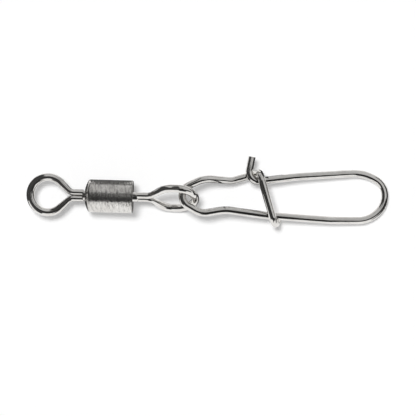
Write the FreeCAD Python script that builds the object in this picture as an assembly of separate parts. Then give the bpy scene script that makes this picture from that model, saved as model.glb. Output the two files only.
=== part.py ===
"""Fishing snap swivel: a barrel with a turning wire eye in each end, and a bent wire snap.

The swivel lies on its side as it rests on a table. +X runs from the line eye to the snap, +Z is up,
and the origin is the centre of the line eye's ring. The barrel's axis starts there and rises a
little towards the snap, because the barrel lies on its domed rim and on the snap eye's ring.
"""

import FreeCAD, Part
import math
import os
from FreeCAD import Vector

# Barrel, in millimetres like every size here.
BARREL_D = 4.1
BARREL_LENGTH = 6.12
SHELL_WALL = 0.35
DOME_R = 3.8
DOME_EDGE_R = 0.35
LIP_THICKNESS = 0.2
LIP_WIDTH = 0.5
RIM_EDGE_R = 0.08
CAP_THICKNESS = 0.45
CAP_LEDGE = 0.12

# Wire eyes. The line eye's ring is round, and the snap eye's ring has straight sides.
EYE_WIRE_D = 1.0
EYE_OPENING_D = 3.4
EYE_SHOULDER_ANGLE = 43.0
LINE_EYE_SIDE = 0.0
SNAP_EYE_SIDE = 0.6
THROAT_R = 1.0
LEG_WIRE_D = 0.78
SHANK_WIDTH = 1.54
SHANK_LENGTH = 1.63
NECK_D = 1.2
NECK_LENGTH = 1.2
SHOULDER_TAPER = 0.15
SHOULDER_GAP = 0.09
HEAD_D = 2.3
HEAD_LENGTH = 0.75
HEAD_EDGE_R = 0.15
HEAD_GAP = 0.05
RUNNING_CLEARANCE = 0.06
SNAP_EYE_LEAN = 57.0

# Snap wire. Lengths and widths are measured along the centre of the wire.
SNAP_WIRE_D = 0.94
CROSSING_GAP = 0.035
LINK_SLACK = 0.66
SNAP_SIDE_SHIFT = 0.27
SNAP_LIFT = 0.36
SNAP_YAW = 1.6
SNAP_LENGTH = 25.47
SMALL_LOOP_END_R = 1.42
SMALL_LOOP_END_HIGH = 0.98
SMALL_LOOP_END_LOW = 0.77
SMALL_LOOP_HIGH = 2.23
SMALL_LOOP_HIGH_AT = 2.8
SMALL_LOOP_HIGH_R = 3.75
SMALL_LOOP_LOW = 2.19
SMALL_LOOP_LOW_AT = 2.36
SMALL_LOOP_LOW_R = 2.5
WAIST_HIGH = 1.92
WAIST_HIGH_AT = 6.3
WAIST_HIGH_R = 2.25
WAIST_LOW = 1.68
WAIST_LOW_AT = 5.39
WAIST_LOW_R = 5.5
LOWER_LEG_NEAR = 2.4
LOWER_LEG_NEAR_AT = 10.45
LOWER_LEG_FAR = 3.02
LOWER_LEG_FAR_AT = 18.75
LEG_BOW_R = 25.0
BIG_LOOP_LOW = 3.06
BIG_LOOP_LOW_R = 3.6
BIG_LOOP_LOW_SLANT_LENGTH = 2.01
BIG_LOOP_LOW_SLANT_RISE = 1.81
BIG_LOOP_LOW_END_R = 2.95
BIG_LOOP_HIGH = 2.93
BIG_LOOP_HIGH_R = 5.2
BIG_LOOP_HIGH_SLANT_LENGTH = 2.47
BIG_LOOP_HIGH_SLANT_DROP = 1.61
BIG_LOOP_HIGH_END_R = 2.3
UPPER_LEG_MID = 2.46
UPPER_LEG_MID_AT = 14.6
TAIL_FOOT = 1.7
TAIL_FOOT_AT = 8.12
TAIL_BEND_R = 1.17
TAIL_TIP = 4.94
TAIL_TIP_AT = 8.76
CORNER_AT = 9.66
HOOK_AT = 11.5
HOOK_DRIFT = 0.45
HOOK_END = 2.5
HOOK_END_AT = 12.3

# Sizes that follow from those above.
EYE_RING_R = (EYE_OPENING_D + EYE_WIRE_D) / 2
LEG_OFFSET = (SHANK_WIDTH - LEG_WIRE_D) / 2
SHOULDER_TURN = math.radians(EYE_SHOULDER_ANGLE)
RING_TO_THROAT = (
    EYE_RING_R * math.tan(SHOULDER_TURN / 2) + (EYE_RING_R - LEG_OFFSET) / math.tan(SHOULDER_TURN)
)
RING_TO_SHOULDER = RING_TO_THROAT + SHANK_LENGTH
BARREL_START = LINE_EYE_SIDE + RING_TO_SHOULDER + SHOULDER_GAP
BARREL_END = BARREL_START + BARREL_LENGTH
CAP_OUTER_FACE = BARREL_END - LIP_THICKNESS
CAP_INNER_FACE = CAP_OUTER_FACE - CAP_THICKNESS
SNAP_EYE_CENTRE = CAP_INNER_FACE - HEAD_GAP + NECK_LENGTH + RING_TO_SHOULDER + SNAP_EYE_SIDE
SNAP_START = SNAP_EYE_CENTRE + EYE_RING_R - (EYE_WIRE_D + SNAP_WIRE_D) / 2 - LINK_SLACK
CROSSING_RISE = SNAP_WIRE_D + CROSSING_GAP

# How the swivel lies: on the barrel's domed rim and on the side of the snap eye's leaning ring.
RIM_CENTRE_R = BARREL_D / 2 - DOME_EDGE_R
RIM_AT = BARREL_START + DOME_R - math.sqrt((DOME_R - DOME_EDGE_R) ** 2 - RIM_CENTRE_R**2)
RING_AT = SNAP_EYE_CENTRE - SNAP_EYE_SIDE
RING_DROP = EYE_RING_R * math.sin(math.radians(SNAP_EYE_LEAN)) + EYE_WIRE_D / 2
AXIS_RISE = math.atan((RING_DROP - BARREL_D / 2) / (RING_AT - RIM_AT))
TABLE = RIM_AT * math.sin(AXIS_RISE) - BARREL_D / 2 * math.cos(AXIS_RISE)
SNAP_PLACE_UP = SNAP_START * math.sin(AXIS_RISE) + SNAP_LIFT
SNAP_PITCH = math.asin((SNAP_PLACE_UP - TABLE - SNAP_WIRE_D / 2) / SNAP_LENGTH)
MARGIN = 1.0
SHORTEST_RUN = 1e-6

ORIGIN = Vector(0, 0, 0)
ALONG = Vector(1, 0, 0)
ACROSS = Vector(0, 1, 0)
UP = Vector(0, 0, 1)


def laid_down(shape):
    """A piece of the swivel, tipped from level to the slope at which the swivel lies."""
    shape.rotate(ORIGIN, ACROSS, -math.degrees(AXIS_RISE))
    return shape


def rod(start, length, radius):
    """A round bar along the barrel's axis."""
    return Part.makeCylinder(radius, length, Vector(start, 0, 0), ALONG)


def domed_bar(radius, dome_radius, start, end):
    """A round bar along the barrel's axis whose starting end is a shallow dome."""
    ball = Part.makeSphere(dome_radius, Vector(start + dome_radius, 0, 0))
    past_ball = rod(start + dome_radius, end - start, radius)
    bar = rod(start, end - start, radius)
    return bar.common(ball.fuse(past_ball))


def circle_edges_at(shape, x, radius):
    """The round edges of a shape that lie at one place along the barrel's axis."""
    found = []
    for edge in shape.Edges:
        curve = edge.Curve
        if not isinstance(curve, Part.Circle):
            continue
        if abs(curve.Center.x - x) < 1e-6 and abs(curve.Radius - radius) < 1e-6:
            found.append(edge)
    return found


def barrel_shell():
    """The drawn cup: a domed end with a round hole, and a lip rolled over the end cap."""
    radius = BARREL_D / 2
    bore = radius - SHELL_WALL
    seat = bore + CAP_LEDGE
    shoulder = BARREL_START + DOME_R - math.sqrt(DOME_R**2 - radius**2)
    outside = domed_bar(radius, DOME_R, BARREL_START, BARREL_END)
    outside = outside.makeFillet(DOME_EDGE_R, circle_edges_at(outside, shoulder, radius))
    outside = outside.makeFillet(RIM_EDGE_R, circle_edges_at(outside, BARREL_END, radius))
    inside = domed_bar(bore, DOME_R - SHELL_WALL, BARREL_START + SHELL_WALL, CAP_INNER_FACE)
    cap_seat = rod(CAP_INNER_FACE, CAP_THICKNESS, seat)
    mouth = rod(CAP_OUTER_FACE, LIP_THICKNESS + MARGIN, seat - LIP_WIDTH)
    dome_hole = rod(BARREL_START - MARGIN, MARGIN + DOME_R, NECK_D / 2 + RUNNING_CLEARANCE)
    return laid_down(outside.cut(inside).cut(cap_seat).cut(mouth).cut(dome_hole))


def barrel_end_cap():
    """The disc that closes the cup, with a round hole for the snap eye's neck."""
    disc = rod(CAP_INNER_FACE, CAP_THICKNESS, BARREL_D / 2 - SHELL_WALL + CAP_LEDGE)
    hole = rod(CAP_INNER_FACE - MARGIN, CAP_THICKNESS + 2 * MARGIN, NECK_D / 2 + RUNNING_CLEARANCE)
    return laid_down(disc.cut(hole))


def bent_path(points):
    """Lines through (along, across, height, bend radius) points, joined by tangent arcs."""
    places = [Vector(*p[:3]) for p in points]
    bends = []
    for i in range(1, len(places) - 1):
        back = (places[i - 1] - places[i]).normalize()
        onward = (places[i + 1] - places[i]).normalize()
        half_angle = back.getAngle(onward) / 2
        bends.append([back, onward, half_angle, points[i][3] / math.tan(half_angle)])
    # Two bends share the run between them where both at their full radius wouldn't fit.
    reach = [0.0] + [bend[3] for bend in bends] + [0.0]
    runs = [(places[i + 1] - places[i]).Length for i in range(len(places) - 1)]
    share = [min(1.0, run / (reach[i] + reach[i + 1])) for i, run in enumerate(runs)]
    edges = []
    at = places[0]
    for i, (back, onward, half_angle, length) in enumerate(bends):
        length *= min(share[i], share[i + 1])
        radius = length * math.tan(half_angle)
        corner = places[i + 1]
        starts = corner + back * length
        ends = corner + onward * length
        middle = corner + (back + onward).normalize() * (radius / math.sin(half_angle) - radius)
        if (starts - at).Length > SHORTEST_RUN:
            edges.append(Part.LineSegment(at, starts).toShape())
        else:
            starts = at
        edges.append(Part.Arc(starts, middle, ends).toShape())
        at = ends
    edges.append(Part.LineSegment(at, places[-1]).toShape())
    return edges


def swept_wire(edges, diameter):
    """Round wire of one diameter along lines and arcs that follow each other."""
    start = edges[0].valueAt(edges[0].FirstParameter)
    heading = edges[0].tangentAt(edges[0].FirstParameter)
    section = Part.Wire(Part.makeCircle(diameter / 2, start, heading))
    return Part.Wire(edges).makePipeShell([section], True, False)


def wire_eye(side):
    """One bent wire: a ring round the origin, two legs pressed together along +X, a neck, a head.

    The ring's sides run straight for a length before they turn in to the shank.
    """
    shoulder = side + RING_TO_SHOULDER
    edges = bent_path(
        [
            (-EYE_RING_R, 0, 0, 0),
            (-EYE_RING_R, EYE_RING_R, 0, EYE_RING_R),
            (side + EYE_RING_R * math.tan(SHOULDER_TURN / 2), EYE_RING_R, 0, EYE_RING_R),
            (side + RING_TO_THROAT, LEG_OFFSET, 0, THROAT_R),
            (shoulder, LEG_OFFSET, 0, 0),
        ]
    )
    ring = swept_wire(edges[:-3], EYE_WIRE_D)
    leg = swept_wire(edges[-2:], LEG_WIRE_D)
    # Between the ring and the throat the wire is drawn down to the thinner legs.
    drawn = edges[-3]
    drawn_start = drawn.valueAt(drawn.FirstParameter)
    heading = drawn.tangentAt(drawn.FirstParameter)
    drawn_down = Part.makeCone(EYE_WIRE_D / 2, LEG_WIRE_D / 2, drawn.Length, drawn_start, heading)
    # Each leg is pressed flat against the other at the middle plane.
    span = 2 * (shoulder + EYE_RING_R)
    other_side = Part.makeBox(2 * span, span, span, Vector(-span, -span, -span / 2))
    half = ring.fuse([drawn_down, leg]).cut(other_side)
    other_half = half.mirror(ORIGIN, ACROSS)
    taper_start = Vector(shoulder - SHOULDER_TAPER, 0, 0)
    taper = Part.makeCone(LEG_WIRE_D / 2, NECK_D / 2, SHOULDER_TAPER, taper_start, ALONG)
    neck = rod(shoulder, NECK_LENGTH + HEAD_LENGTH / 2, NECK_D / 2)
    head = rod(shoulder + NECK_LENGTH, HEAD_LENGTH, HEAD_D / 2)
    head = head.makeFillet(HEAD_EDGE_R, [e for e in head.Edges if isinstance(e.Curve, Part.Circle)])
    return half.fuse([other_half, taper, neck, head]).removeSplitter()


def line_eye():
    """The eye that the line is tied to, its ring lying flat."""
    return laid_down(wire_eye(LINE_EYE_SIDE))


def snap_eye():
    """The second eye, turned end for end into the other end of the barrel and rolled on its axis."""
    eye = wire_eye(SNAP_EYE_SIDE)
    eye.rotate(ORIGIN, UP, 180)
    eye.rotate(ORIGIN, ALONG, SNAP_EYE_LEAN)
    eye.translate(Vector(SNAP_EYE_CENTRE, 0, 0))
    return laid_down(eye)


def between(a, b, along):
    """How far across a straight leg from bend a to bend b is, at a place along it."""
    return a[1] + (b[1] - a[1]) * (along - a[0]) / (b[0] - a[0])


def snap_path():
    """The snap's centre line, from the hooked end round both loops to the turned-up tail."""
    rise = CROSSING_RISE
    lower_near = (LOWER_LEG_NEAR_AT, -LOWER_LEG_NEAR, 0, LEG_BOW_R)
    lower_far = (LOWER_LEG_FAR_AT, -LOWER_LEG_FAR, 0, LEG_BOW_R)
    upper_mid = (UPPER_LEG_MID_AT, UPPER_LEG_MID, 0, LEG_BOW_R)
    tail_foot = (TAIL_FOOT_AT, TAIL_FOOT, 0, TAIL_BEND_R)
    # The wire crosses itself twice, going round the outside of the other leg each time.
    corner = between(tail_foot, upper_mid, CORNER_AT) + rise
    hook = between(lower_near, lower_far, HOOK_AT) - rise
    return bent_path(
        [
            (HOOK_END_AT, -HOOK_END, -rise, 0),
            (HOOK_AT + HOOK_DRIFT, hook, -rise, rise),
            (HOOK_AT, hook, rise, rise),
            (CORNER_AT, corner, rise, rise),
            (CORNER_AT, corner, -rise, rise),
            (WAIST_HIGH_AT, WAIST_HIGH, -rise, WAIST_HIGH_R),
            (SMALL_LOOP_HIGH_AT, SMALL_LOOP_HIGH, 0, SMALL_LOOP_HIGH_R),
            (0, SMALL_LOOP_END_HIGH, 0, SMALL_LOOP_END_R),
            (0, -SMALL_LOOP_END_LOW, 0, SMALL_LOOP_END_R),
            (SMALL_LOOP_LOW_AT, -SMALL_LOOP_LOW, 0, SMALL_LOOP_LOW_R),
            (WAIST_LOW_AT, -WAIST_LOW, 0, WAIST_LOW_R),
            lower_near,
            lower_far,
            (SNAP_LENGTH - BIG_LOOP_LOW_SLANT_LENGTH, -BIG_LOOP_LOW, 0, BIG_LOOP_LOW_R),
            (SNAP_LENGTH, BIG_LOOP_LOW_SLANT_RISE - BIG_LOOP_LOW, 0, BIG_LOOP_LOW_END_R),
            (SNAP_LENGTH, BIG_LOOP_HIGH - BIG_LOOP_HIGH_SLANT_DROP, 0, BIG_LOOP_HIGH_END_R),
            (SNAP_LENGTH - BIG_LOOP_HIGH_SLANT_LENGTH, BIG_LOOP_HIGH, 0, BIG_LOOP_HIGH_R),
            upper_mid,
            tail_foot,
            (TAIL_TIP_AT, TAIL_TIP, 0, 0),
        ]
    )


def snap_wire():
    """The snap: its small loop lifted by the snap eye, its big loop's end down on the table."""
    wire = swept_wire(snap_path(), SNAP_WIRE_D)
    wire.rotate(ORIGIN, ACROSS, math.degrees(SNAP_PITCH))
    wire.rotate(ORIGIN, UP, SNAP_YAW)
    wire.translate(Vector(SNAP_START * math.cos(AXIS_RISE), SNAP_SIDE_SHIFT, SNAP_PLACE_UP))
    return wire


PIECES = {
    "barrel_shell": barrel_shell,
    "barrel_end_cap": barrel_end_cap,
    "line_eye": line_eye,
    "snap_eye": snap_eye,
    "snap_wire": snap_wire,
}

os.makedirs("parts", exist_ok=True)
for name, make in PIECES.items():
    shape = make().Solids[0]
    shape.exportStep("parts/" + name + ".step")
    print(name, "valid" if shape.isValid() else "not valid", round(shape.Volume, 3), "mm3")
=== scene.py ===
import math

import bpy
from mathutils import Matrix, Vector


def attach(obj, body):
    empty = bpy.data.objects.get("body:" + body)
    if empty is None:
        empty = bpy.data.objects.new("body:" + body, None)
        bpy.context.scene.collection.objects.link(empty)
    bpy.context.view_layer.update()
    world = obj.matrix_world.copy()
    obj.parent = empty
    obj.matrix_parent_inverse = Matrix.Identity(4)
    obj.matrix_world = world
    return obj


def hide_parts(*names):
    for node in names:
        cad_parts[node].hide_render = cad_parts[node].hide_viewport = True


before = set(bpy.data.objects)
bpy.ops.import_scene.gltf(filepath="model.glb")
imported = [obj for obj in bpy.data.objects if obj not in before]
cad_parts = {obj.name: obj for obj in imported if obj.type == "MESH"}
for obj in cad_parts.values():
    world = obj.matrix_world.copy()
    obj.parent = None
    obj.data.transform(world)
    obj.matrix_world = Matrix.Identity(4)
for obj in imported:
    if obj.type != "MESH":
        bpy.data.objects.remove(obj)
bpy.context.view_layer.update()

bpy.ops.object.select_all(action="DESELECT")


# Barrel shell: a brass cup with a domed end, drawn from strip, plated with dark nickel and spun
# smooth, so fine brush lines run round it. Its open end is rolled over the end cap as a lip.
AXIS_RISE = math.radians(1.6457)
SHELL_RADIUS = 2.05
SHELL_WALL = 0.35
SHELL_START = 4.54
SHELL_END = 10.66
DOME_RADIUS = 3.8
DOME_EDGE = 0.35
HOLE_RADIUS = 0.66
CAP_INNER_FACE = 10.01
CAP_OUTER_FACE = 10.46
SEAT_RADIUS = 1.82
LIP_MOUTH_RADIUS = 1.32
RIM_ROUND = 0.14
HOLE_EDGE = 0.06
CAP_EDGE = 0.04


def turned(name, rings, sides=128):
    """A turned piece in millimetres, drawn out ring by ring along the barrel's axis."""
    at, radius = rings[0]
    bpy.ops.mesh.primitive_circle_add(
        vertices=sides, radius=radius, location=(at, 0, 0), rotation=(0, math.radians(90), 0)
    )
    piece = bpy.context.object
    piece.name = name
    bpy.ops.object.transform_apply(location=True, rotation=True, scale=True)
    bpy.ops.object.mode_set(mode="EDIT")
    bpy.ops.mesh.select_all(action="SELECT")
    for next_at, next_radius in rings[1:]:
        bpy.ops.mesh.extrude_region_move(TRANSFORM_OT_translate={"value": (next_at - at, 0, 0)})
        growth = next_radius / radius
        bpy.ops.transform.resize(value=(1, growth, growth), center_override=(next_at, 0, 0))
        at, radius = next_at, next_radius
    bpy.ops.object.mode_set(mode="OBJECT")
    return piece


def finished(piece, rise=AXIS_RISE):
    """Close the ends, turn the faces outwards, shade smooth, tip to the axis and bring to metres."""
    bpy.ops.object.mode_set(mode="EDIT")
    bpy.ops.mesh.select_all(action="SELECT")
    bpy.ops.mesh.remove_doubles(threshold=0.0005)
    bpy.ops.mesh.select_all(action="SELECT")
    bpy.ops.mesh.fill_holes(sides=0)
    bpy.ops.mesh.select_all(action="SELECT")
    bpy.ops.mesh.normals_make_consistent(inside=False)
    bpy.ops.object.mode_set(mode="OBJECT")
    bpy.ops.object.shade_smooth_by_angle(angle=math.radians(32))
    piece.rotation_euler = (0, -rise, 0)
    bpy.ops.object.transform_apply(location=True, rotation=True, scale=True)
    piece.scale = (0.001, 0.001, 0.001)
    bpy.ops.object.transform_apply(location=True, rotation=True, scale=True)


def dome_ring(centre, dome, radius):
    """Where a dome round a centre on the axis has a radius."""
    return centre - math.sqrt(dome**2 - radius**2), radius


dome_centre = SHELL_START + DOME_RADIUS
corner_radius = SHELL_RADIUS - DOME_EDGE
corner_at = dome_centre - math.sqrt((DOME_RADIUS - DOME_EDGE) ** 2 - corner_radius**2)
dome_turn = math.asin(corner_radius / (DOME_RADIUS - DOME_EDGE))
shell_rings = []
for step in range(6):
    reach = HOLE_RADIUS + (DOME_RADIUS * math.sin(dome_turn) - HOLE_RADIUS) * step / 5
    shell_rings.append(dome_ring(dome_centre, DOME_RADIUS, reach))
for step in range(1, 7):
    turn = dome_turn + (math.radians(90) - dome_turn) * step / 6
    shell_rings.append(
        (corner_at - DOME_EDGE * math.cos(turn), corner_radius + DOME_EDGE * math.sin(turn))
    )
for step in range(7):
    turn = math.radians(15 * step)
    shell_rings.append(
        (
            SHELL_END - RIM_ROUND + RIM_ROUND * math.sin(turn),
            SHELL_RADIUS - RIM_ROUND + RIM_ROUND * math.cos(turn),
        )
    )
bore = SHELL_RADIUS - SHELL_WALL
shell_rings += [
    (SHELL_END, LIP_MOUTH_RADIUS + HOLE_EDGE),
    (SHELL_END - HOLE_EDGE, LIP_MOUTH_RADIUS),
    (CAP_OUTER_FACE, LIP_MOUTH_RADIUS),
    (CAP_OUTER_FACE, SEAT_RADIUS),
    (CAP_INNER_FACE, SEAT_RADIUS),
    (CAP_INNER_FACE, bore),
]
for step in range(6):
    reach = bore + (HOLE_RADIUS - bore) * step / 5
    shell_rings.append(dome_ring(dome_centre, DOME_RADIUS - SHELL_WALL, reach))
shell_rings.append(shell_rings[0])
shell = turned("barrel_cup", shell_rings)
finished(shell)

# The handling marks group: soft patches of finger grease and fine dark specks, used on every metal.
marks = bpy.data.node_groups.new("handling marks", "ShaderNodeTree")
marks.interface.new_socket("Patch Size", in_out="INPUT", socket_type="NodeSocketFloat")
marks.interface.new_socket("Speck Size", in_out="INPUT", socket_type="NodeSocketFloat")
marks.interface.new_socket("Patches", in_out="OUTPUT", socket_type="NodeSocketFloat")
marks.interface.new_socket("Specks", in_out="OUTPUT", socket_type="NodeSocketFloat")
marks_in = marks.nodes.new("NodeGroupInput")
marks_out = marks.nodes.new("NodeGroupOutput")
marks_place = marks.nodes.new("ShaderNodeTexCoord")
patch_noise = marks.nodes.new("ShaderNodeTexNoise")
patch_noise.inputs["Detail"].default_value = 4
patch_noise.inputs["Roughness"].default_value = 0.6
speck_noise = marks.nodes.new("ShaderNodeTexNoise")
speck_noise.inputs["Detail"].default_value = 2
patch_range = marks.nodes.new("ShaderNodeMapRange")
patch_range.inputs["From Min"].default_value = 0.35
patch_range.inputs["From Max"].default_value = 0.68
speck_range = marks.nodes.new("ShaderNodeMapRange")
speck_range.inputs["From Min"].default_value = 0.66
speck_range.inputs["From Max"].default_value = 0.76
for noise, size, spread, out in (
    (patch_noise, "Patch Size", patch_range, "Patches"),
    (speck_noise, "Speck Size", speck_range, "Specks"),
):
    marks.links.new(marks_place.outputs["Object"], noise.inputs["Vector"])
    marks.links.new(marks_in.outputs[size], noise.inputs["Scale"])
    marks.links.new(noise.outputs["Fac"], spread.inputs["Value"])
    marks.links.new(spread.outputs["Result"], marks_out.inputs[out])


def metal(name, roughness_low, roughness_high, light, dark, patch_size, speck_size):
    """A bare metal: its colour goes from light to dark with its marks. Gives the material's parts."""
    material = bpy.data.materials.new(name)
    material.use_nodes = True
    nodes, links = material.node_tree.nodes, material.node_tree.links
    shader = nodes["Principled BSDF"]
    shader.inputs["Metallic"].default_value = 1.0
    handled = nodes.new("ShaderNodeGroup")
    handled.node_tree = marks
    handled.inputs["Patch Size"].default_value = patch_size
    handled.inputs["Speck Size"].default_value = speck_size
    tint = nodes.new("ShaderNodeMix")
    tint.data_type = "RGBA"
    tint.inputs["A"].default_value = (*light, 1)
    tint.inputs["B"].default_value = (*dark, 1)
    soil = nodes.new("ShaderNodeMath")
    soil.operation = "MULTIPLY_ADD"
    soil.inputs[1].default_value = 0.55
    links.new(handled.outputs["Patches"], soil.inputs[0])
    links.new(handled.outputs["Specks"], soil.inputs[2])
    soil.use_clamp = True
    links.new(soil.outputs[0], tint.inputs["Factor"])
    links.new(tint.outputs["Result"], shader.inputs["Base Color"])
    polish = nodes.new("ShaderNodeMapRange")
    polish.inputs["To Min"].default_value = roughness_low
    polish.inputs["To Max"].default_value = roughness_high
    links.new(handled.outputs["Patches"], polish.inputs["Value"])
    links.new(polish.outputs["Result"], shader.inputs["Roughness"])
    return material, nodes, links, shader


nickel, nodes, links, shader = metal(
    "spun dark nickel", 0.16, 0.26, (0.79, 0.776, 0.75), (0.62, 0.597, 0.562), 420, 5200
)
# Brush lines that run round the barrel as a fine thread: the angle round its axis shifts them along.
LINES_PER_METRE = 3600
SHIFT_PER_RADIAN = 0.0003
BREAKS_PER_RADIAN = 2.2
place = nodes.new("ShaderNodeTexCoord")
level = nodes.new("ShaderNodeMapping")
level.inputs["Rotation"].default_value = (0, AXIS_RISE, 0)
links.new(place.outputs["Object"], level.inputs["Vector"])
apart = nodes.new("ShaderNodeSeparateXYZ")
links.new(level.outputs["Vector"], apart.inputs["Vector"])
angle = nodes.new("ShaderNodeMath")
angle.operation = "ARCTAN2"
links.new(apart.outputs["Y"], angle.inputs[0])
links.new(apart.outputs["Z"], angle.inputs[1])
thread = nodes.new("ShaderNodeMath")
thread.operation = "MULTIPLY_ADD"
thread.inputs[1].default_value = SHIFT_PER_RADIAN
links.new(angle.outputs[0], thread.inputs[0])
links.new(apart.outputs["X"], thread.inputs[2])
along = nodes.new("ShaderNodeMath")
along.operation = "MULTIPLY"
along.inputs[1].default_value = LINES_PER_METRE
links.new(thread.outputs[0], along.inputs[0])
round_it = nodes.new("ShaderNodeMath")
round_it.operation = "MULTIPLY"
round_it.inputs[1].default_value = BREAKS_PER_RADIAN
links.new(angle.outputs[0], round_it.inputs[0])
across = nodes.new("ShaderNodeCombineXYZ")
links.new(along.outputs[0], across.inputs["X"])
links.new(round_it.outputs[0], across.inputs["Y"])
brushed = nodes.new("ShaderNodeTexNoise")
brushed.inputs["Scale"].default_value = 1
brushed.inputs["Detail"].default_value = 4
brushed.inputs["Roughness"].default_value = 0.65
links.new(across.outputs["Vector"], brushed.inputs["Vector"])
scored = nodes.new("ShaderNodeBump")
scored.inputs["Strength"].default_value = 0.8
scored.inputs["Distance"].default_value = 0.00006
links.new(brushed.outputs["Fac"], scored.inputs["Height"])
links.new(scored.outputs["Normal"], shader.inputs["Normal"])
# Polishing dust darkens the deeper lines, and a painted shade darkens the rim where the lip is rolled
# over, for the dark line that light gives there.
in_lines = nodes.new("ShaderNodeMapRange")
in_lines.inputs["From Min"].default_value = 0.47
in_lines.inputs["From Max"].default_value = 0.66
in_lines.inputs["To Max"].default_value = 0.46
links.new(brushed.outputs["Fac"], in_lines.inputs["Value"])
# Painted shade: the rolled lip's rim is coloured dark by its place along the barrel's axis.
lip_painted_shade = nodes.new("ShaderNodeMapRange")
lip_painted_shade.inputs["From Min"].default_value = (SHELL_END - RIM_ROUND - 0.06) / 1000
lip_painted_shade.inputs["From Max"].default_value = (SHELL_END - 0.04) / 1000
links.new(apart.outputs["X"], lip_painted_shade.inputs["Value"])
dust_and_lip_shade_mask = nodes.new("ShaderNodeMath")
dust_and_lip_shade_mask.operation = "MAXIMUM"
links.new(in_lines.outputs["Result"], dust_and_lip_shade_mask.inputs[0])
links.new(lip_painted_shade.outputs["Result"], dust_and_lip_shade_mask.inputs[1])
# Mixes in the dark colour, both for the dust in the lines and for the painted shade at the lip.
dust_and_lip_shade_mix = nodes.new("ShaderNodeMix")
dust_and_lip_shade_mix.data_type = "RGBA"
dust_and_lip_shade_mix.inputs["B"].default_value = (0.2, 0.19, 0.18, 1)
links.new(dust_and_lip_shade_mask.outputs[0], dust_and_lip_shade_mix.inputs["Factor"])
links.new(shader.inputs["Base Color"].links[0].from_socket, dust_and_lip_shade_mix.inputs["A"])
links.new(dust_and_lip_shade_mix.outputs["Result"], shader.inputs["Base Color"])

shell.data.materials.append(nickel)
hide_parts("barrel_shell")
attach(shell, "barrel")


# End cap: a pressed disc of the same plated brass that closes the cup. The rolled lip holds it,
# and the snap eye's neck turns in its hole.
cap = turned(
    "barrel_cap",
    [
        (CAP_OUTER_FACE, HOLE_RADIUS + HOLE_EDGE),
        (CAP_OUTER_FACE, SEAT_RADIUS - CAP_EDGE),
        (CAP_OUTER_FACE - CAP_EDGE, SEAT_RADIUS),
        (CAP_INNER_FACE, SEAT_RADIUS),
        (CAP_INNER_FACE, HOLE_RADIUS),
        (CAP_OUTER_FACE - HOLE_EDGE, HOLE_RADIUS),
        (CAP_OUTER_FACE, HOLE_RADIUS + HOLE_EDGE),
    ],
)
finished(cap)
cap.data.materials.append(nickel)
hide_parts("barrel_end_cap")
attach(cap, "barrel")


# Line eye: one round stainless wire bent into a ring, its two legs drawn down thinner, pressed
# together as a shank and forged into a neck and a head that turns inside the barrel.
EYE_WIRE = 1.0
EYE_RADIUS = 2.2
LEG_WIRE = 0.78
LEG_OFFSET = 0.38
SHOULDER_TURN = math.radians(43)
THROAT_RADIUS = 1.0
SHANK_LENGTH = 1.63
NECK_RADIUS = 0.6
NECK_LENGTH = 1.2
HEAD_RADIUS = 1.15
HEAD_LENGTH = 0.75
HEAD_EDGE = 0.15
HEAD_CORNER = 0.04
WIRE_SIDES = 40
BEND_STEP = 4


def wire_end(place, heading, width):
    """The round section that a wire is drawn out from."""
    bpy.ops.mesh.primitive_circle_add(
        vertices=WIRE_SIDES,
        radius=width / 2,
        location=place,
        rotation=heading.to_track_quat("Z", "Y").to_euler(),
    )
    wire = bpy.context.object
    bpy.ops.object.transform_apply(location=True, rotation=True, scale=True)
    bpy.ops.object.mode_set(mode="EDIT")
    bpy.ops.mesh.select_all(action="SELECT")
    return wire


def bend_wire(name, points, width, drawn_down=None):
    """A round wire through (place, bend radius) points: out along its runs, spun round its bends.

    drawn_down is (run, width): on that run the wire gets thinner. Along its length goes to the
    wire's own map as V and round it as U.
    """
    places = [Vector(p[:3]) for p in points]
    at = places[0]
    wire = wire_end(at, (places[1] - at).normalized(), width)
    wire.name = name
    lengths = [0.0]
    rings = []
    for i in range(1, len(places) - 1):
        back = (places[i - 1] - places[i]).normalized()
        onward = (places[i + 1] - places[i]).normalized()
        half = back.angle(onward) / 2
        room_back = (places[i] - at).length
        reach = min(points[i][3] / math.tan(half), room_back)
        radius = reach * math.tan(half)
        starts = places[i] + back * reach
        ends = places[i] + onward * reach
        centre = places[i] + (back + onward).normalized() * (radius / math.sin(half))
        run = (starts - at).length
        if run > 1e-4:
            bpy.ops.mesh.extrude_region_move(TRANSFORM_OT_translate={"value": starts - at})
            lengths.append(lengths[-1] + run)
            if drawn_down and drawn_down[0] == i:
                thinner = drawn_down[1] / width
                bpy.ops.transform.resize(value=(thinner,) * 3, center_override=starts)
        turn = math.pi - 2 * half
        steps = max(3, math.ceil(math.degrees(turn) / BEND_STEP))
        axis = (-back).cross(onward).normalized()
        bpy.ops.mesh.spin(steps=steps, angle=-turn, center=centre, axis=axis)
        for step in range(steps):
            lengths.append(lengths[-1] + radius * turn / steps)
        at = ends
    run = (places[-1] - at).length
    if run > 1e-4:
        bpy.ops.mesh.extrude_region_move(TRANSFORM_OT_translate={"value": places[-1] - at})
        lengths.append(lengths[-1] + run)
    bpy.ops.object.mode_set(mode="OBJECT")
    # Each ring's corners follow the last ring's, so a corner's number gives its place on the wire.
    mesh = wire.data
    wrap = mesh.uv_layers.new(name="along the wire")
    for face in mesh.polygons:
        corners = [mesh.loops[loop].vertex_index % WIRE_SIDES for loop in face.loop_indices]
        seam = max(corners) - min(corners) > 1
        for loop in face.loop_indices:
            ring, side = divmod(mesh.loops[loop].vertex_index, WIRE_SIDES)
            side += WIRE_SIDES if seam and side == 0 else 0
            wrap.data[loop].uv = (side / WIRE_SIDES, lengths[ring])
    return wire


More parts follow.
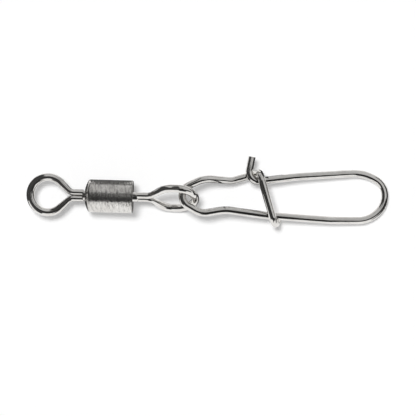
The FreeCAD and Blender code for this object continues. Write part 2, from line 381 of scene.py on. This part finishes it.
def round_off(wire, place, facing, width, by):
    """Closes a cut end of the wire, facing outwards at a place, with its edge filed round."""
    bpy.context.view_layer.objects.active = wire
    bpy.ops.object.mode_set(mode="EDIT")
    bpy.ops.mesh.select_all(action="DESELECT")
    bpy.ops.object.mode_set(mode="OBJECT")
    for corner in wire.data.vertices:
        corner.select = (corner.co - place).length < width * 0.51 and abs(
            (corner.co - place).dot(facing)
        ) < 1e-3
    bpy.ops.object.mode_set(mode="EDIT")
    bpy.ops.mesh.select_mode(type="VERT")
    for turn in (22.5, 45, 67.5, 90):
        angle = math.radians(turn)
        last = math.radians(turn - 22.5)
        out = by * (math.sin(angle) - math.sin(last))
        was = width / 2 - by * (1 - math.cos(last))
        now = width / 2 - by * (1 - math.cos(angle))
        bpy.ops.mesh.extrude_region_move(TRANSFORM_OT_translate={"value": facing * out})
        place = place + facing * out
        bpy.ops.transform.resize(value=(now / was,) * 3, center_override=place)
    bpy.ops.mesh.edge_face_add()
    bpy.ops.object.mode_set(mode="OBJECT")


def eye(name, side):
    """A bent eye round the origin with its legs along +X. side is its ring's straight length."""
    throat = EYE_RADIUS * math.tan(SHOULDER_TURN / 2)
    throat += (EYE_RADIUS - LEG_OFFSET) / math.tan(SHOULDER_TURN)
    shoulder = side + throat + SHANK_LENGTH
    half = bend_wire(
        name,
        [
            (-EYE_RADIUS, 0, 0, 0),
            (-EYE_RADIUS, EYE_RADIUS, 0, EYE_RADIUS),
            (side + EYE_RADIUS * math.tan(SHOULDER_TURN / 2), EYE_RADIUS, 0, EYE_RADIUS),
            (side + throat, LEG_OFFSET, 0, THROAT_RADIUS),
            (shoulder, LEG_OFFSET, 0, 0),
        ],
        EYE_WIRE,
        (3, LEG_WIRE),
    )
    # The leg is pressed flat where it meets the other one, and the other half is its mirror image.
    bpy.ops.object.mode_set(mode="EDIT")
    bpy.ops.mesh.select_all(action="SELECT")
    bpy.ops.mesh.bisect(
        plane_co=(0, 0, 0), plane_no=(0, 1, 0), clear_inner=True, threshold=1e-5
    )
    bpy.ops.object.mode_set(mode="OBJECT")
    mirror = half.modifiers.new("other half", "MIRROR")
    mirror.use_axis = (False, True, False)
    mirror.use_clip = False
    mirror.merge_threshold = 1e-3
    bpy.ops.object.modifier_apply(modifier=mirror.name)
    head = shoulder + NECK_LENGTH
    neck = turned(
        "neck",
        [
            (shoulder - 0.2, 0.3),
            (shoulder - 0.16, LEG_WIRE / 2),
            (shoulder - 0.05, NECK_RADIUS - 0.02),
            (shoulder, NECK_RADIUS),
            (head, NECK_RADIUS),
            (head, HEAD_RADIUS - HEAD_EDGE),
            (head + HEAD_CORNER, HEAD_RADIUS - HEAD_CORNER),
            (head + HEAD_EDGE, HEAD_RADIUS),
            (head + HEAD_LENGTH - HEAD_EDGE, HEAD_RADIUS),
            (head + HEAD_LENGTH - HEAD_CORNER, HEAD_RADIUS - HEAD_CORNER),
            (head + HEAD_LENGTH, HEAD_RADIUS - HEAD_EDGE),
        ],
        48,
    )
    bpy.ops.object.select_all(action="DESELECT")
    neck.select_set(True)
    half.select_set(True)
    bpy.context.view_layer.objects.active = half
    bpy.ops.object.join()
    return half


line_eye = eye("line_eye_wire", 0.0)
finished(line_eye)

# Smooth drawn stainless: faint lines along the wire from the drawing die, on the wire's own map.
stainless, nodes, links, shader = metal(
    "drawn stainless", 0.06, 0.16, (0.80, 0.787, 0.765), (0.64, 0.617, 0.587), 700, 6500
)
wrap = nodes.new("ShaderNodeUVMap")
wrap.uv_map = "along the wire"
lines = nodes.new("ShaderNodeMapping")
lines.inputs["Scale"].default_value = (26, 0.35, 1)
links.new(wrap.outputs["UV"], lines.inputs["Vector"])
drawn = nodes.new("ShaderNodeTexNoise")
drawn.inputs["Scale"].default_value = 1
drawn.inputs["Detail"].default_value = 4
links.new(lines.outputs["Vector"], drawn.inputs["Vector"])
scored = nodes.new("ShaderNodeBump")
scored.inputs["Strength"].default_value = 0.25
scored.inputs["Distance"].default_value = 0.00002
links.new(drawn.outputs["Fac"], scored.inputs["Height"])
links.new(scored.outputs["Normal"], shader.inputs["Normal"])

line_eye.data.materials.append(stainless)
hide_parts("line_eye")
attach(line_eye, "line_eye")


# Snap eye: bent like the line eye with a slightly longer ring. It is turned end for end into the
# cap's hole and leans over until its ring rests on the table.
SNAP_EYE_SIDE = 0.6
SNAP_EYE_CENTRE = 16.2066
SNAP_EYE_LEAN = 57.0

snap_eye = eye("snap_eye_wire", SNAP_EYE_SIDE)
snap_eye.rotation_euler = (0, 0, math.radians(180))
bpy.ops.object.transform_apply(location=True, rotation=True, scale=True)
snap_eye.rotation_euler = (math.radians(SNAP_EYE_LEAN), 0, 0)
snap_eye.location = (SNAP_EYE_CENTRE, 0, 0)
bpy.ops.object.transform_apply(location=True, rotation=True, scale=True)
finished(snap_eye)
snap_eye.data.materials.append(stainless)
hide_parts("snap_eye")
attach(snap_eye, "snap_eye")


# Snap: one spring-hard stainless wire bent on a forming tool. Its small loop links through the
# snap eye, its big loop takes the lure, and its ends cross: one hooks round the lower leg.
SNAP_WIRE = 0.94
CUT_EDGE = 0.07
CROSSING = 0.975
SNAP_AT = (16.7697, 0.27, 0.8418)
SNAP_PITCH = 5.1081
SNAP_YAW = 1.6

snap_points = [
    (12.3, -2.5, -CROSSING, 0),
    (11.95, -2.478 - CROSSING, -CROSSING, CROSSING),
    (11.5, -2.478 - CROSSING, CROSSING, CROSSING),
    (9.66, 1.8806 + CROSSING, CROSSING, CROSSING),
    (9.66, 1.8806 + CROSSING, -CROSSING, CROSSING),
    (6.3, 1.92, -CROSSING, 2.25),
    (2.8, 2.23, 0, 3.75),
    (0, 0.98, 0, 1.42),
    (0, -0.77, 0, 1.42),
    (2.36, -2.19, 0, 2.5),
    (5.39, -1.68, 0, 5.5),
    (10.45, -2.4, 0, 25.0),
    (18.75, -3.02, 0, 25.0),
    (23.46, -3.06, 0, 3.6),
    (25.47, -1.25, 0, 2.95),
    (25.47, 1.32, 0, 2.3),
    (23.0, 2.93, 0, 5.2),
    (14.6, 2.46, 0, 25.0),
    (8.12, 1.7, 0, 1.17),
    (8.76, 4.94, 0, 0),
]
# Both ends stop short by the edge that is filed round on them.
snap_tips = []
for end, before in ((0, 1), (-1, -2)):
    tip = Vector(snap_points[end][:3])
    facing = (tip - Vector(snap_points[before][:3])).normalized()
    tip -= facing * CUT_EDGE
    snap_points[end] = (*tip, 0)
    snap_tips.append((tip, facing))
snap = bend_wire("snap_hook_wire", snap_points, SNAP_WIRE)
for tip, facing in snap_tips:
    round_off(snap, tip, facing, SNAP_WIRE, CUT_EDGE)
snap.rotation_euler = (0, math.radians(SNAP_PITCH), math.radians(SNAP_YAW))
snap.location = SNAP_AT
bpy.ops.object.transform_apply(location=True, rotation=True, scale=True)
finished(snap, 0)
snap.data.materials.append(stainless)
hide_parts("snap_wire")
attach(snap, "snap")


# Studio: a pale table in a white tent, soft light from the upper left, and the black and grey cards
# that polished metal needs. Only reflections see the cards, so the background stays white.
TABLE = -0.0018959
SHEET_AT = TABLE + 0.0001
LEVEL = (0, 0, 0)
UPRIGHT = (0, math.radians(90), 0)
EDGE_ON = math.radians(100.2)


def seen_by(nodes, links, strength_by_ray):
    """A strength that depends on which rays look: camera, or the metal's reflections."""
    rays = nodes.new("ShaderNodeLightPath")
    mirrored = nodes.new("ShaderNodeMath")
    mirrored.operation = "MAXIMUM"
    links.new(rays.outputs["Is Glossy Ray"], mirrored.inputs[0])
    links.new(rays.outputs["Is Transmission Ray"], mirrored.inputs[1])
    by_mirror = nodes.new("ShaderNodeMath")
    by_mirror.operation = "MULTIPLY_ADD"
    by_mirror.inputs[1].default_value = strength_by_ray["mirrored"]
    by_mirror.inputs[2].default_value = strength_by_ray["light"]
    links.new(mirrored.outputs[0], by_mirror.inputs[0])
    total = nodes.new("ShaderNodeMath")
    total.operation = "MULTIPLY_ADD"
    total.inputs[1].default_value = strength_by_ray["camera"]
    links.new(rays.outputs["Is Camera Ray"], total.inputs[0])
    links.new(by_mirror.outputs[0], total.inputs[2])
    return total.outputs[0]


bpy.ops.mesh.primitive_plane_add(size=6, location=(0.02, 0, TABLE))
table = bpy.context.object
table.name = "table_top"
paper = bpy.data.materials.new("white paper")
paper.use_nodes = True
nodes, links = paper.node_tree.nodes, paper.node_tree.links
nodes.remove(nodes["Principled BSDF"])
matt = nodes.new("ShaderNodeBsdfDiffuse")
matt.inputs["Color"].default_value = (0.8, 0.8, 0.8, 1)
glow = nodes.new("ShaderNodeEmission")
lift = seen_by(nodes, links, {"camera": 0.25, "mirrored": 0.25, "light": 0.0})
links.new(lift, glow.inputs["Strength"])
both = nodes.new("ShaderNodeAddShader")
links.new(matt.outputs[0], both.inputs[0])
links.new(glow.outputs[0], both.inputs[1])
links.new(both.outputs[0], nodes["Material Output"].inputs["Surface"])
table.data.materials.append(paper)


def card(name, size, place, turn, brightness):
    """A card that only the metal's reflections see."""
    bpy.ops.mesh.primitive_plane_add(size=1, location=place, rotation=turn)
    sheet = bpy.context.object
    sheet.name = name
    sheet.scale = (size[0], size[1], 1)
    finish = bpy.data.materials.new(name)
    finish.use_nodes = True
    nodes, links = finish.node_tree.nodes, finish.node_tree.links
    nodes.remove(nodes["Principled BSDF"])
    glow = nodes.new("ShaderNodeEmission")
    glow.inputs["Strength"].default_value = brightness
    links.new(glow.outputs[0], nodes["Material Output"].inputs["Surface"])
    sheet.data.materials.append(finish)
    sheet.visible_camera = False
    sheet.visible_diffuse = False
    sheet.visible_transmission = False
    sheet.visible_shadow = False


# Cards overhead, black on the near side and grey on the far side: they give each level wire its dark
# line and its grey face. The low ones do that for the pieces right under them.
card("dark_overhead", (2.4, 0.45), (0.02, -0.215, 0.5), LEVEL, 0.03)
card("grey_behind", (3.0, 0.926), (0.02, 0.31, 0.25), (math.radians(-36.3), 0, 0), 0.6)
card("dark_low", (0.043, 0.063), (-0.0085, -0.0045, 0.06), LEVEL, 0.045)
card("dark_over_snap", (0.023, 0.121), (0.0295, -0.0515, 0.05), LEVEL, 0.02)
card("dark_over_end", (0.011, 0.106), (0.0465, -0.059, 0.05), LEVEL, 0.02)
card("grey_over_snap", (0.034, 0.1), (0.035, 0.052, 0.051), LEVEL, 0.5)
card("dark_by_eye", (0.0062, 0.05), (0.0160, 0.026, 0.02), LEVEL, 0.06)

# Upright black cards at the two ends, and two small ones by the hook and the tail, which lean so
# that the legs of the snap reflect only their edge.
card("dark_by_hook", (0.005, 0.0018), (0.0222, 0.0001, 0.0008), (0, EDGE_ON, math.radians(2)), 0.05)
card(
    "dark_by_tail", (0.0033, 0.0027), (0.0272, 0.00467, -0.00015), (0, EDGE_ON, math.radians(8.3)), 0.05
)
card("dark_left", (0.06, 0.044), (-0.012, 0.018, 0.028), UPRIGHT, 0.055)
card("dark_left_front", (0.052, 0.03), (-0.012, -0.019, 0.032), UPRIGHT, 0.055)
card("dark_right", (0.0119, 0.06), (0.06, 0.0, 0.00405), UPRIGHT, 0.04)

# Dark sheets on the table, which the lower sides of the wires and the barrel reflect.
card("sheet_by_tail", (0.003, 0.0027), (0.0277, 0.0047, SHEET_AT), LEVEL, 0.06)
card("sheet_in_eye", (0.0048, 0.0034), (0.0192, -0.0005, SHEET_AT), LEVEL, 0.06)
card("sheet_left", (0.04, 0.044), (-0.0229, 0.018, SHEET_AT), LEVEL, 0.06)
card("sheet_by_dome", (0.0038, 0.0062), (0.0028, 0, SHEET_AT), LEVEL, 0.06)
card("sheet_by_lip", (0.0024, 0.0044), (0.0119, 0, SHEET_AT), LEVEL, 0.06)
card("sheet_by_barrel", (0.0062, 0.012), (0.0076, 0.0068, SHEET_AT), LEVEL, 0.14)
card("sheet_by_hook", (0.0055, 0.0026), (0.02425, -0.0001, SHEET_AT), LEVEL, 0.06)
card("sheet_by_end", (0.02, 0.02), (0.0533, 0.0, SHEET_AT), LEVEL, 0.06)
card("sheet_behind", (2.0, 0.6), (0.02, 0.3128, SHEET_AT), LEVEL, 0.14)

world = bpy.context.scene.world or bpy.data.worlds.new("tent")
bpy.context.scene.world = world
world.use_nodes = True
nodes, links = world.node_tree.nodes, world.node_tree.links
tent = nodes["Background"]
tent.inputs["Color"].default_value = (1, 1, 1, 1)
lift = seen_by(nodes, links, {"camera": 0.75, "mirrored": 0.75, "light": 0.25})
links.new(lift, tent.inputs["Strength"])

lamp_data = bpy.data.lights.new("soft_lamp", "SUN")
lamp_data.energy = 2.3
lamp_data.angle = math.radians(18)
lamp = bpy.data.objects.new("soft_lamp", lamp_data)
lamp.rotation_euler = Vector((0.19, -0.25, -0.95)).to_track_quat("-Z", "Y").to_euler()
lamp.visible_glossy = False
bpy.context.scene.collection.objects.link(lamp)

# Camera: a long lens straight above, turned a little, as the photograph was taken.
CAMERA_HEIGHT = 0.6
SENSOR_WIDTH = 36
SEEN_WIDTH = 0.052
view_data = bpy.data.cameras.new("above")
view_data.sensor_width = SENSOR_WIDTH
view_data.lens = SENSOR_WIDTH * CAMERA_HEIGHT / SEEN_WIDTH
view_data.clip_start = 0.01
camera = bpy.data.objects.new("above", view_data)
camera.location = (0.02004, -0.001116, CAMERA_HEIGHT)
camera.rotation_euler = (0, 0, math.radians(1.6))
bpy.context.scene.collection.objects.link(camera)
bpy.context.scene.camera = camera
bpy.context.scene.view_settings.view_transform = "Standard"
